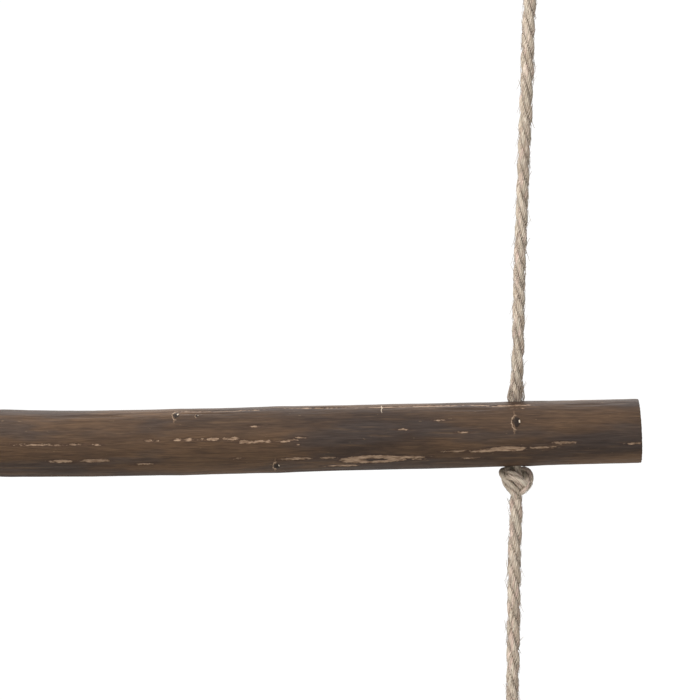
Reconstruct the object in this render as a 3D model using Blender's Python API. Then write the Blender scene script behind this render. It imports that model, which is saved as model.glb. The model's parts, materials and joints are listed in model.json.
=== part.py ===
"""Hanging ladder: five bark-covered branch rungs on two knotted ropes.

Metres, +X along the rungs to the right, +Y to the back, +Z up. The origin lies midway
between the two rope eyes, at the height where a hook carries them. Each rope runs from its
eye down through every rung, and an overhand knot under each rung holds the rung up. Where
a rope can bend, its solid ends in a ball centred on the bend, so that it turns freely.
"""

import math
from collections import namedtuple

import bmesh
import bpy
from mathutils import Vector

# The rope, and the room kept between neighbouring solids.
ROPE_RADIUS = 0.00325
GAP = 0.0003
PIVOT_CLEAR = ROPE_RADIUS + GAP
ROPE_POINT_SPACING = 0.018
ROPE_BEVEL_RESOLUTION = 2
BALL_ANGLES = (20, 45, 70, 90)

# The overhand knot under each rung, and the hole that the rope runs through.
KNOT_RADIUS = 0.0088
KNOT_HEIGHT = 0.0155
KNOT_TO_RUNG = 0.0005
KNOT_SIDES = 12
HOLE_RADIUS = 0.0039
HOLE_SIDES = 12
HOLE_CUTTER_LENGTH = 0.06

# The eye at the top of each rope, tied with a larger loop knot.
EYE_X = 0.184
EYE_HALF_WIDTH = 0.0183
EYE_HEIGHT = 0.064
EYE_START_ANGLE = 32
EYE_POINTS = 22
EYE_KNOT_RADIUS = 0.0120
EYE_KNOT_HEIGHT = 0.0265
EYE_KNOT_RISE = 0.00585
EYE_END_OFFSET = 0.0080
EYE_END_DROP = 0.0012
EYE_END_LENGTH = 0.026

# The loose ends below the lowest knots.
TAIL_LENGTH = 0.055
TAIL_FRAY = 1.25

# A branch is straight on both sides of one soft bend, which hangs lowest.
BEND_SOFTNESS = 0.03
RUNG_RINGS = 15
RUNG_BEVEL_RESOLUTION = 8

# height and bend_x place the bend; rise_left and rise_right are the slopes, in degrees, up
# from it; left, right and the two radii are the sawn ends; wander is how far the branch
# strays to the back and front between its holes; the holes are where the ropes pass.
Rung = namedtuple(
    "Rung",
    "height bend_x rise_left rise_right left right radius_left radius_right wander holes",
)
RUNGS = (
    Rung(-0.300, 0.040, 1.2, 0.8, -0.246, 0.252, 0.0169, 0.0180, 0.0012, (-0.1815, 0.1850)),
    Rung(-0.590, -0.020, 0.7, 1.1, -0.251, 0.247, 0.0183, 0.0170, -0.0014, (-0.1800, 0.1883)),
    Rung(-0.880, -0.054, 1.0, 1.45, -0.252, 0.2466, 0.0182, 0.01727, 0.0010, (-0.1835, 0.1800)),
    Rung(-1.170, 0.070, 0.9, 1.6, -0.247, 0.253, 0.0171, 0.0184, 0.0015, (-0.1810, 0.1753)),
    Rung(-1.460, 0.010, 1.3, 0.9, -0.254, 0.246, 0.0186, 0.0176, -0.0012, (-0.1840, 0.1770)),
)
SIDES = ("left", "right")

BARK = ("branch_bark", (0.105, 0.072, 0.050), 0.85)
ROPE = ("jute_rope", (0.480, 0.395, 0.300), 0.95)


def clear_scene():
    for thing in list(bpy.data.objects):
        bpy.data.objects.remove(thing)


def material(finish):
    """A Principled material, made once for each finish."""
    name, colour, roughness = finish
    made = bpy.data.materials.get(name)
    if made is None:
        made = bpy.data.materials.new(name)
        made.use_nodes = True
        shader = made.node_tree.nodes["Principled BSDF"]
        shader.inputs["Base Color"].default_value = (*colour, 1)
        shader.inputs["Roughness"].default_value = roughness
        shader.inputs["Metallic"].default_value = 0
    return made


def place(name, data, finish):
    """An object of the given mesh or curve, with its finish."""
    data.materials.append(material(finish))
    thing = bpy.data.objects.new(name, data)
    bpy.context.scene.collection.objects.link(thing)
    return thing


def branch_centre(rung, x):
    """The branch's centre at x: two slopes with a soft bend between them."""
    rise_left = math.tan(math.radians(rung.rise_left))
    rise_right = math.tan(math.radians(rung.rise_right))
    along = x - rung.bend_x
    lift = math.hypot(along, BEND_SOFTNESS) - BEND_SOFTNESS
    height = rung.height + ((rise_right - rise_left) * along + (rise_right + rise_left) * lift) / 2
    share = (x - rung.holes[0]) / (rung.holes[1] - rung.holes[0])
    return Vector((x, rung.wander * math.sin(2 * math.pi * share), height))


def branch_radius(rung, x):
    share = (x - rung.left) / (rung.right - rung.left)
    return rung.radius_left + share * (rung.radius_right - rung.radius_left)


def above_rung(rung, side):
    """The bend point of a rope just above a rung's hole."""
    x = rung.holes[side]
    return Vector((x, 0, branch_centre(rung, x).z + branch_radius(rung, x) + PIVOT_CLEAR))


def below_knot(rung, side):
    """The bend point of a rope just below the knot under a rung."""
    x = rung.holes[side]
    underside = branch_centre(rung, x).z - branch_radius(rung, x)
    return Vector((x, 0, underside - KNOT_TO_RUNG - KNOT_HEIGHT - PIVOT_CLEAR))


def below_eye_knot(side):
    """The bend point of a rope just below its eye knot, which rises round the eye's legs."""
    knot_top = ROPE_RADIUS - EYE_HEIGHT + EYE_KNOT_RISE
    return Vector(((2 * side - 1) * EYE_X, 0, knot_top - EYE_KNOT_HEIGHT - PIVOT_CLEAR))


def tube(name, points, radii, resolution):
    """A round tube with filled ends, as a curve, with a radius at each point."""
    curve = bpy.data.curves.new(name, "CURVE")
    curve.dimensions = "3D"
    curve.twist_mode = "MINIMUM"
    curve.bevel_depth = 1
    curve.bevel_resolution = resolution
    curve.use_fill_caps = True
    spline = curve.splines.new("POLY")
    spline.points.add(len(points) - 1)
    for spot, point, radius in zip(spline.points, points, radii):
        spot.co = (*point, 1)
        spot.radius = radius
    return curve


def ball_end(centre, outward, radius):
    """Points and radii that round a rope's end into a ball about centre, tip first."""
    points = [centre + outward * radius * math.cos(math.radians(a)) for a in BALL_ANGLES]
    radii = [radius * math.sin(math.radians(a)) for a in BALL_ANGLES]
    return points, radii


def rope_stretch(name, top, bottom, end_radius=ROPE_RADIUS):
    """A straight stretch of rope that turns about its top and bottom points."""
    run = bottom - top
    direction = run.normalized()
    count = round(run.length / ROPE_POINT_SPACING)
    shares = [k / count for k in range(1, count)]
    first_points, first_radii = ball_end(top, -direction, ROPE_RADIUS)
    last_points, last_radii = ball_end(bottom, direction, end_radius)
    points = first_points + [top + run * s for s in shares] + last_points[::-1]
    radii = first_radii + [ROPE_RADIUS] * len(shares) + last_radii[::-1]
    place(name, tube(name, points, radii, ROPE_BEVEL_RESOLUTION), ROPE)


def turned(name, profile, finish):
    """A solid turned about the vertical through profile's first point, from (radius, height)."""
    shape = bmesh.new()
    verts = [shape.verts.new((radius, 0, height)) for radius, height in profile]
    edges = [shape.edges.new(pair) for pair in zip(verts, verts[1:])]
    bmesh.ops.spin(
        shape,
        geom=verts + edges,
        cent=(0, 0, 0),
        axis=(0, 0, 1),
        angle=math.tau,
        steps=KNOT_SIDES,
        use_merge=True,
    )
    bmesh.ops.remove_doubles(shape, verts=shape.verts, dist=1e-6)
    bmesh.ops.recalc_face_normals(shape, faces=shape.faces)
    mesh = bpy.data.meshes.new(name)
    shape.to_mesh(mesh)
    shape.free()
    mesh.shade_smooth()
    mesh.set_sharp_from_angle(angle=math.radians(50))
    return place(name, mesh, finish)


def knot_profile(radius, height, stop_angle):
    """Half an egg from its lowest point up to stop_angle, as (radius, height) from its foot."""
    steps = 7
    angles = [math.radians(-90 + (stop_angle + 90) * k / steps) for k in range(steps + 1)]
    return [(radius * max(math.cos(a), 0), height / 2 * (1 + math.sin(a))) for a in angles]


def rung_knot(number, rung, side):
    """The knot under a rung, with the rope that fills the rung's hole above it."""
    foot = below_knot(rung, side) + Vector((0, 0, PIVOT_CLEAR))
    neck_angle = math.degrees(math.acos(ROPE_RADIUS / KNOT_RADIUS))
    hole_top = above_rung(rung, side).z - PIVOT_CLEAR - foot.z
    profile = knot_profile(KNOT_RADIUS, KNOT_HEIGHT, neck_angle)
    profile += [(ROPE_RADIUS, hole_top), (0, hole_top)]
    knot = turned(f"knot_{number}_{SIDES[side]}", profile, ROPE)
    knot.location = foot


def eye_knot(side):
    """The loop knot at the foot of an eye, with a flat top that the eye's legs stand on."""
    foot = below_eye_knot(side) + Vector((0, 0, PIVOT_CLEAR))
    profile = knot_profile(EYE_KNOT_RADIUS, EYE_KNOT_HEIGHT, 50)
    knot = turned(f"eye_knot_{SIDES[side]}", profile + [(0, profile[-1][1])], ROPE)
    knot.location = foot


def eye(side):
    """The open loop above the eye knot, drop-shaped, with its top just over the origin."""
    centre_x = (2 * side - 1) * EYE_X
    widest = 4 / (3 * math.sqrt(3))
    points = []
    for k in range(EYE_POINTS + 1):
        angle = math.radians(EYE_START_ANGLE + (360 - 2 * EYE_START_ANGLE) * k / EYE_POINTS)
        across = EYE_HALF_WIDTH / widest * math.sin(angle) * math.sin(angle / 2)
        height = EYE_HEIGHT * (1 - math.cos(angle)) / 2
        points.append(Vector((centre_x + across, 0, ROPE_RADIUS - EYE_HEIGHT + height)))
    name = f"eye_{SIDES[side]}"
    radii = [ROPE_RADIUS] * len(points)
    place(name, tube(name, points, radii, ROPE_BEVEL_RESOLUTION), ROPE)


def eye_end(side):
    """The short end of rope that leaves the eye knot beside the ladder's rope."""
    outward = 2 * side - 1
    top = below_eye_knot(side) + Vector((outward * EYE_END_OFFSET, 0, PIVOT_CLEAR - EYE_END_DROP))
    rope_stretch(f"eye_end_{SIDES[side]}", top, top - Vector((0, 0, EYE_END_LENGTH)))


def hole_cutter(name, x, height):
    """A hidden upright rod that drills a rung."""
    shape = bmesh.new()
    bmesh.ops.create_cone(
        shape,
        cap_ends=True,
        segments=HOLE_SIDES,
        radius1=HOLE_RADIUS,
        radius2=HOLE_RADIUS,
        depth=HOLE_CUTTER_LENGTH,
    )
    mesh = bpy.data.meshes.new(name)
    shape.to_mesh(mesh)
    shape.free()
    cutter = bpy.data.objects.new(name, mesh)
    cutter.location = (x, 0, height)
    cutter.hide_render = True
    cutter.display_type = "WIRE"
    bpy.context.scene.collection.objects.link(cutter)
    return cutter


def branch_mesh(name, rung):
    """The whole branch as a mesh, before its holes are drilled."""
    step = (rung.right - rung.left) / (RUNG_RINGS - 1)
    places = [rung.left + step * k for k in range(RUNG_RINGS)]
    points = [branch_centre(rung, x) for x in places]
    radii = [branch_radius(rung, x) for x in places]
    curve = tube(name, points, radii, RUNG_BEVEL_RESOLUTION)
    blank = bpy.data.objects.new(name + "_blank", curve)
    mesh = bpy.data.meshes.new_from_object(blank)
    bpy.data.objects.remove(blank)
    mesh.name = name
    mesh.shade_smooth()
    mesh.set_sharp_from_angle(angle=math.radians(50))
    return mesh


def branch_rung(number, rung):
    """One rung: a sawn branch with an upright hole for each rope."""
    name = f"rung_{number}"
    branch = place(name, branch_mesh(name, rung), BARK)
    for side, x in zip(SIDES, rung.holes):
        hole = branch.modifiers.new(f"hole_{side}", "BOOLEAN")
        hole.operation = "DIFFERENCE"
        hole.solver = "EXACT"
        hole.object = hole_cutter(f"{name}_drill_{side}", x, branch_centre(rung, x).z)


def build_side(side):
    """Everything that belongs to one rope, from its eye to its loose end."""
    eye(side)
    eye_knot(side)
    eye_end(side)
    start = below_eye_knot(side)
    for number, rung in enumerate(RUNGS, 1):
        rope_stretch(f"rope_{number}_{SIDES[side]}", start, above_rung(rung, side))
        rung_knot(number, rung, side)
        start = below_knot(rung, side)
    end = start - Vector((0, 0, TAIL_LENGTH))
    rope_stretch(f"tail_{SIDES[side]}", start, end, ROPE_RADIUS * TAIL_FRAY)


clear_scene()
for rung_number, branch in enumerate(RUNGS, 1):
    branch_rung(rung_number, branch)
for rope_side in range(len(SIDES)):
    build_side(rope_side)
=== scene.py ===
"""Looks of a hanging ladder: five bark-covered branch rungs on two knotted jute ropes.

Metres, +X to the right along the rungs, +Y to the back, +Z up. The origin lies midway
between the tops of the two rope eyes. The tables of marks and of knot routes are in millimetres.
"""
import json
import math
import random
from collections import namedtuple

import bmesh
import bpy
import numpy as np
from mathutils import Matrix, Vector, noise


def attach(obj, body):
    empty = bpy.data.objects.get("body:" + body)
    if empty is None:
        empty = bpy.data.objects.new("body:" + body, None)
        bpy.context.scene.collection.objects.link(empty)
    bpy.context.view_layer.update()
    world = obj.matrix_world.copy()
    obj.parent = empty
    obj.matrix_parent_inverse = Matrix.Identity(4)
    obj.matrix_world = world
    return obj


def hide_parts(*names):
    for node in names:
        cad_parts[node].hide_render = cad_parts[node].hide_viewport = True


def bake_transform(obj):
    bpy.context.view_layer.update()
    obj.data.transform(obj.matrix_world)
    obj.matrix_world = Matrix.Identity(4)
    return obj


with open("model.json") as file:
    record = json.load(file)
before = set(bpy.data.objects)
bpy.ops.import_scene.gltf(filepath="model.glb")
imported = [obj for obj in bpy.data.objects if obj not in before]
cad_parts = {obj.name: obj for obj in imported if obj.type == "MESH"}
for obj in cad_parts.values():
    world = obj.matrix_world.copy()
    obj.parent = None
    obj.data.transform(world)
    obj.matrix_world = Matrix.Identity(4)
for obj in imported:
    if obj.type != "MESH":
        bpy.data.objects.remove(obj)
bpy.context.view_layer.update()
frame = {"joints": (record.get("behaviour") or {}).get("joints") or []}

MM = 0.001

# ------------------------------------------------------------
# Rungs. Each is a nearly straight branch, about 35 mm thick, sawn to 0.5 m and dried with its
# bark on. Shallow scrapes show the pale inner bark, and every bud has left a dark scar.
# Two upright holes, 7.8 mm wide, are drilled for the ropes.

BEND_SOFTNESS = 0.03
HOLE_RADIUS = 0.0039
DRILL_LENGTH = 0.06
RUNG_SEGMENTS = 176
RUNG_CUTS = 339
CAP_RINGS = 9

Rung = namedtuple(
    "Rung",
    "height bend_x rise_left rise_right left right radius_left radius_right wander holes",
)
RUNGS = (
    Rung(-0.300, 0.040, 1.2, 0.8, -0.246, 0.252, 0.0169, 0.0180, 0.0012, (-0.1815, 0.1850)),
    Rung(-0.590, -0.020, 0.7, 1.1, -0.251, 0.247, 0.0183, 0.0170, -0.0014, (-0.1800, 0.1883)),
    Rung(-0.880, -0.054, 1.0, 1.45, -0.252, 0.2466, 0.0182, 0.01727, 0.0010, (-0.1835, 0.1800)),
    Rung(-1.170, 0.070, 0.9, 1.6, -0.247, 0.253, 0.0171, 0.0184, 0.0015, (-0.1810, 0.1753)),
    Rung(-1.460, 0.010, 1.3, 0.9, -0.254, 0.246, 0.0186, 0.0176, -0.0012, (-0.1840, 0.1770)),
)

# How far each rung's left and right saw cuts lean, in degrees; positive leans to the right.
SAW_SLANTS = ((1.6, -2.2), (-1.2, 2.4), (2.0, -2.7), (-2.4, 0.8), (0.9, -1.5))

# Scrapes on the front of the middle rung, those along its top edge partly a painted highlight:
# place along it, angle up from the front in degrees, half length and half width.
MIDDLE_RUNG = 3
MIDDLE_SCRAPES_AND_HIGHLIGHTS = (
    (-75.5, -1, 13.0, 0.6), (-56.0, 0, 4.3, 0.5), (-44.8, -1, 2.7, 0.5),
    (-63.7, -31, 6.9, 1.0), (-45.5, -30, 8.0, 1.1), (-19.9, -39, 4.8, 0.7),
    (-16.5, 5, 2.3, 0.9), (-11.8, 5, 1.1, 0.5), (-1.3, 5, 2.5, 0.8), (4.4, 5, 2.5, 0.9),
    (8.4, 5, 1.0, 0.5), (12.0, 5, 1.2, 0.6), (17.6, 5, 3.6, 0.9), (24.2, 5, 1.5, 0.8),
    (28.8, 5, 2.7, 0.9), (34.5, -1, 3.4, 1.1), (39.3, -1, 1.3, 0.8), (42.0, -1, 1.3, 0.8),
    (44.6, -1, 1.3, 0.8), (47.2, -1, 1.6, 0.8), (55.3, -2, 3.4, 0.6), (59.6, 0, 3.6, 0.5),
    (64.3, 4, 3.0, 0.5), (62.8, -8, 1.2, 0.7), (39.8, 26, 2.6, 0.6), (30.9, -31, 2.9, 0.5),
    (61.7, -35, 9.0, 0.8), (78.5, -35, 5.2, 0.6), (87.2, -56, 9.5, 0.9),
    (103.0, -41, 17.5, 2.9), (121.0, -38, 11.0, 0.9), (127.5, -43, 4.5, 0.4),
    # These rows, 52 to 70 degrees up along the top edge, are partly scraped bark and partly a painted
    # highlight.
    (20.0, 66, 24.0, 0.6), (70.0, 70, 14.0, 0.5), (110.0, 67, 19.0, 0.6), (137.0, 68, 18.0, 0.9),
    (160.0, 67, 5.5, 0.8), (176.0, 62, 14.0, 0.8), (179.0, 52, 6.0, 0.4),
    (146.5, -28, 6.5, 0.6), (162.0, -29, 8.0, 0.9), (175.0, -26, 11.0, 1.5),
    (193.0, -25, 9.0, 0.7), (205.2, -17, 6.7, 0.8), (242.6, -22, 5.5, 0.7),
    (155.0, -44, 6.0, 0.5), (119.0, 14, 3.2, 0.6), (138.5, 30, 4.2, 0.5), (150.5, 6, 3.6, 0.5),
    (-110.0, 20, 9.0, 0.8), (-138.0, -22, 12.0, 1.3), (-166.0, 8, 5.0, 0.7),
    (-210.0, -12, 14.0, 1.1), (-226.0, 32, 6.0, 0.7),
)
# Untouched islands of bark in the largest scrape.
MIDDLE_ISLANDS = ((102.0, -42, 3.4, 0.9), (107.5, -42, 2.6, 0.8))
# Buds on its front: place along it, angle in degrees, and size; at 1 the scar is 4 by 6 mm.
MIDDLE_BUDS = (
    (179.7, 22, 1.0), (-2.4, 53, 0.8), (8.8, 52, 0.35), (51.6, -50, 0.8), (-128.0, 35, 0.9),
)
# A pale nick across its bark, about 8 mm high: place along it and angle in degrees.
MIDDLE_NICKS = ((107.6, 62),)

# The other rungs and all backs get scrapes and buds at random, over these stretches in
# millimetres. The middle rung's front reaches this many degrees up and down.
FRONT_REACH = 95
SCRAPE_ROWS = 15
ROW_ENDS = (-235, 225)
BUD_ENDS = (-240, 220)
BUD_GAPS = (60, 130)

# The bark's relief, from broad swellings down to single fibres: its height in millimetres,
# and how often it changes in a metre along the branch and across it.
BARK_RELIEF = ((0.35, 14, 16), (0.16, 38, 330), (0.07, 160, 1100))
# The rest of the relief, also in millimetres.
CRACK_DEPTH = 0.28
SCRAPE_DEPTH = 0.28
BUD_HEIGHT = 1.0
SCAR_DEPTH = 0.9
BUD_RING_HEIGHT = 0.25
EDGE_WEAR = 0.12
SAW_MARK_HEIGHT = 0.10
SAW_MARK_SPACING = 1.9
CRUMBLE = 0.3
# How far from a bud its marks are drawn, and what tells a nick's places from a bud's.
BUD_ZONE = 8
NICK_SHIFT = 50


def branch_centre(rung, x):
    """The branch's centre at x: two slopes with a soft bend between them."""
    rise_left = math.tan(math.radians(rung.rise_left))
    rise_right = math.tan(math.radians(rung.rise_right))
    along = x - rung.bend_x
    lift = math.hypot(along, BEND_SOFTNESS) - BEND_SOFTNESS
    height = rung.height + ((rise_right - rise_left) * along + (rise_right + rise_left) * lift) / 2
    share = (x - rung.holes[0]) / (rung.holes[1] - rung.holes[0])
    return Vector((x, rung.wander * math.sin(2 * math.pi * share), height))


def branch_radius(rung, x):
    """The branch's radius at x: it tapers evenly from end to end."""
    share = (x - rung.left) / (rung.right - rung.left)
    return rung.radius_left + share * (rung.radius_right - rung.radius_left)


def stick_blank():
    """A stick of unit length and radius along Z, finely divided, with ringed ends."""
    shape = bmesh.new()
    bmesh.ops.create_cone(
        shape, cap_ends=True, segments=RUNG_SEGMENTS, radius1=1, radius2=1, depth=1
    )
    caps = [face for face in shape.faces if len(face.verts) > 4]
    long_edges = [e for e in shape.edges if abs(e.verts[0].co.z - e.verts[1].co.z) > 0.5]
    bmesh.ops.subdivide_edges(shape, edges=long_edges, cuts=RUNG_CUTS, use_grid_fill=True)
    for cap in caps:
        cap.material_index = 1
        for _ in range(CAP_RINGS):
            ring = bmesh.ops.inset_individual(shape, faces=[cap], thickness=1 / (CAP_RINGS + 1))
            for face in ring["faces"]:
                face.material_index = 1
    bmesh.ops.poke(shape, faces=caps)
    return shape


def random_marks(number, keep_front_clear):
    """Scrapes and buds for one rung, in rows along it as a knife or a thumb leaves them."""
    draw = random.Random(100 + number)
    scrapes, buds = [], []
    for _ in range(SCRAPE_ROWS):
        x, angle = draw.uniform(*ROW_ENDS), draw.uniform(-180, 180)
        dashes = draw.choice((1, 1, 2, 4, 6))
        for _ in range(dashes):
            half_length = draw.uniform(1.5, 9) if dashes > 1 else draw.uniform(4, 20)
            scrapes.append((x, angle + draw.uniform(-2, 2), half_length, draw.uniform(0.5, 1.5)))
            x += 2 * half_length + draw.uniform(1, 7)
    x, last = BUD_ENDS
    while x < last:
        x += draw.uniform(*BUD_GAPS)
        buds.append((x, draw.uniform(-180, 180), draw.uniform(0.7, 1.1)))
    if keep_front_clear:
        scrapes = [scrape for scrape in scrapes if abs(scrape[1]) > FRONT_REACH]
        buds = [bud for bud in buds if abs(bud[1]) > FRONT_REACH]
    return scrapes, buds


def mark_depth(marks, x_mm, angle, radius_mm):
    """How far inside the nearest mark's outline each point lies, in millimetres."""
    inside = np.full(len(x_mm), -3.0)
    for x, degrees, half_length, half_width in marks:
        around = (np.degrees(angle) - degrees + 180) % 360 - 180
        across = np.radians(around) * radius_mm / half_width
        distance = np.hypot((x_mm - x) / half_length, across)
        inside = np.maximum(inside, half_width * (1 - distance))
    return inside


def bud_places(buds, nicks, x_mm, angle, radius_mm):
    """Each point's place beside the nearest bud, in bud sizes, and that bud's size.

    The third number is 0 near a bud and 99 elsewhere. Beside a nick, x has a shift added.
    """
    places, sizes = np.full((len(x_mm), 3), 99.0), np.zeros(len(x_mm))
    marks = [(x, degrees, size, 0) for x, degrees, size in buds]
    marks += [(x, degrees, 1, NICK_SHIFT) for x, degrees in nicks]
    for x, degrees, size, shift in marks:
        around = (np.degrees(angle) - degrees + 180) % 360 - 180
        local = np.stack([x_mm - x, np.radians(around) * radius_mm, 0 * x_mm], 1) / size
        near = np.hypot(local[:, 0], local[:, 1]) < BUD_ZONE
        places[near] = local[near] + (shift, 0, 0)
        sizes[near] = 0 if shift else size
    return places, sizes


def step_up(value, low, high):
    """Rises smoothly from 0 at low to 1 at high."""
    share = np.clip((value - low) / (high - low), 0, 1)
    return share * share * (3 - 2 * share)


def grain_noise(points, scale, seed):
    """Smooth noise at each point, drawn out along X by the three scales."""
    shift = Vector((seed * 7.3, seed * 3.1, seed * 5.7))
    stretched = points * np.array(scale)
    return np.array([noise.noise(Vector(p) + shift) for p in stretched])


def as_mesh(name, shape):
    """A new mesh from a bmesh, which this frees."""
    mesh = bpy.data.meshes.new(name)
    shape.to_mesh(mesh)
    shape.free()
    return mesh


def place_object(name, data):
    """A new object in the scene, at the origin."""
    thing = bpy.data.objects.new(name, data)
    bpy.context.scene.collection.objects.link(thing)
    return thing


def rung_mesh(number, rung):
    """One sawn branch: the blank bent to its centre line, with bark, scrapes and buds."""
    mesh = as_mesh(f"branch_{number}", stick_blank())
    count = len(mesh.vertices)
    blank = np.empty(count * 3)
    mesh.vertices.foreach_get("co", blank)
    blank = blank.reshape(-1, 3)
    rim = np.hypot(blank[:, 0], blank[:, 1])
    angle = np.arctan2(blank[:, 1], blank[:, 0])
    x = rung.left + (0.5 - blank[:, 2]) * (rung.right - rung.left)
    centre = np.array([branch_centre(rung, value) for value in x])
    radius = branch_radius(rung, x)
    outward = np.stack([np.zeros(count), -np.cos(angle), np.sin(angle)], 1)
    surface = centre + outward * radius[:, None]

    scrapes, buds = random_marks(number, keep_front_clear=number == MIDDLE_RUNG)
    nicks = ()
    if number == MIDDLE_RUNG:
        scrapes, buds = scrapes + list(MIDDLE_SCRAPES_AND_HIGHLIGHTS), buds + list(MIDDLE_BUDS)
        nicks = MIDDLE_NICKS
    inside = mark_depth(scrapes, x / MM, angle, radius / MM)
    if number == MIDDLE_RUNG:
        inside = np.minimum(inside, -mark_depth(MIDDLE_ISLANDS, x / MM, angle, radius / MM))
    bud, bud_size = bud_places(buds, nicks, x / MM, angle, radius / MM)

    # Each kind of relief has its own seed, ten on from the one before.
    relief = np.zeros(count)
    for layer, (height, along, across) in enumerate(BARK_RELIEF):
        relief += height * MM * grain_noise(surface, (along, across, across), number + 10 * layer)
    cracks = grain_noise(surface, (26, 420, 420), number + 30)
    relief -= CRACK_DEPTH * MM * step_up(cracks, 0.34, 0.55)
    relief -= SCRAPE_DEPTH * MM * step_up(inside, -0.15, 0.35)
    # A bud is an oval bump with a dimple in it, and the branch is a little thicker there.
    bump = np.exp(-(bud[:, 0] / 2.2) ** 2 - (bud[:, 1] / 2.8) ** 2)
    dimple = np.exp(-((bud[:, 0] - 0.2) / 0.9) ** 2 - (bud[:, 1] / 1.1) ** 2)
    relief += (BUD_HEIGHT * bump - SCAR_DEPTH * dimple) * MM * bud_size
    for place, _, size in buds:
        relief += BUD_RING_HEIGHT * MM * size * np.exp(-((x / MM - place) / 7) ** 2)

    # The sawn ends: worn at the rim, with saw marks across the wood and crumbling bark.
    edge = np.where(np.abs(blank[:, 2]) > 0.4999, 1.0, 0.0)
    place = centre + outward * (rim * (radius + relief - EDGE_WEAR * MM * edge))[:, None]
    saw_marks = SAW_MARK_HEIGHT * MM * np.sin(
        surface[:, 2] * 2 * math.pi / (SAW_MARK_SPACING * MM))
    crumble = CRUMBLE * MM * np.abs(grain_noise(surface, (40, 500, 500), number + 40))
    end_side = np.sign(x - rung.bend_x)
    place[:, 0] += end_side * edge * np.where(rim < 0.999, saw_marks, -crumble)
    for end, slant in zip((rung.left, rung.right), SAW_SLANTS[number - 1]):
        near_end = step_up(np.abs(x - end), 0.03, 0)
        place[:, 0] += near_end * math.tan(math.radians(slant)) * (place[:, 2] - centre[:, 2])
    mesh.vertices.foreach_set("co", place.astype(np.float32).ravel())

    mesh.attributes.new("scrape", "FLOAT", "POINT").data.foreach_set("value", inside)
    mesh.attributes.new("bud", "FLOAT_VECTOR", "POINT").data.foreach_set("vector", bud.ravel())
    across = outward * (rim * radius / MM)[:, None]
    cut = np.stack([across[:, 1], across[:, 2], (1 - rim) * radius / MM], 1)
    mesh.attributes.new("cut", "FLOAT_VECTOR", "POINT").data.foreach_set("vector", cut.ravel())
    mesh.shade_smooth()
    mesh.set_sharp_from_angle(angle=math.radians(50))
    mesh.update()
    return mesh


def drill(thing, x, height):
    """Cuts one upright hole through a rung, with sawn wood on its wall."""
    shape = bmesh.new()
    bmesh.ops.create_cone(
        shape, cap_ends=True, segments=32, radius1=HOLE_RADIUS, radius2=HOLE_RADIUS,
        depth=DRILL_LENGTH,
    )
    for face in shape.faces:
        face.material_index = 1
    bmesh.ops.translate(shape, verts=shape.verts, vec=(x, 0, height))
    bit = place_object("drill", as_mesh("drill", shape))
    hole = thing.modifiers.new("hole", "BOOLEAN")
    hole.operation = "DIFFERENCE"
    hole.solver = "MANIFOLD"
    hole.object = bit
    evaluated = thing.evaluated_get(bpy.context.evaluated_depsgraph_get())
    cut = bpy.data.meshes.new_from_object(evaluated)
    thing.modifiers.remove(hole)
    thing.data = cut
    bpy.data.objects.remove(bit)


def linear(hex_colour):
    """An sRGB hex colour as the linear RGBA that a shader takes."""
    channels = [int(hex_colour[k:k + 2], 16) / 255 for k in (1, 3, 5)]
    return [c / 12.92 if c <= 0.04045 else ((c + 0.055) / 1.055) ** 2.4 for c in channels] + [1]


def add(tree, kind, settings, sockets):
    """Adds a shader node, with its settings, and a link or a value for each named socket.

    A node given for a socket stands for its own first output.
    """
    node = tree.nodes.new("ShaderNode" + kind)
    for name, value in settings.items():
        setattr(node, name, value)
    for name, value in sockets.items():
        if isinstance(value, bpy.types.Node):
            value = value.outputs[0]
        if isinstance(value, bpy.types.NodeSocket):
            tree.links.new(value, node.inputs[name])
        else:
            node.inputs[name].default_value = value
    return node


def new_finish(name, roughness):
    """A new material with its roughness, its node tree, and the shader in that."""
    material = bpy.data.materials.new(name)
    material.use_nodes = True
    shader = material.node_tree.nodes["Principled BSDF"]
    shader.inputs["Roughness"].default_value = roughness
    return material, material.node_tree, shader


# For a mark that comes up smoothly, without a hard edge.
SOFT = {"interpolation_type": "SMOOTHSTEP"}


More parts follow.
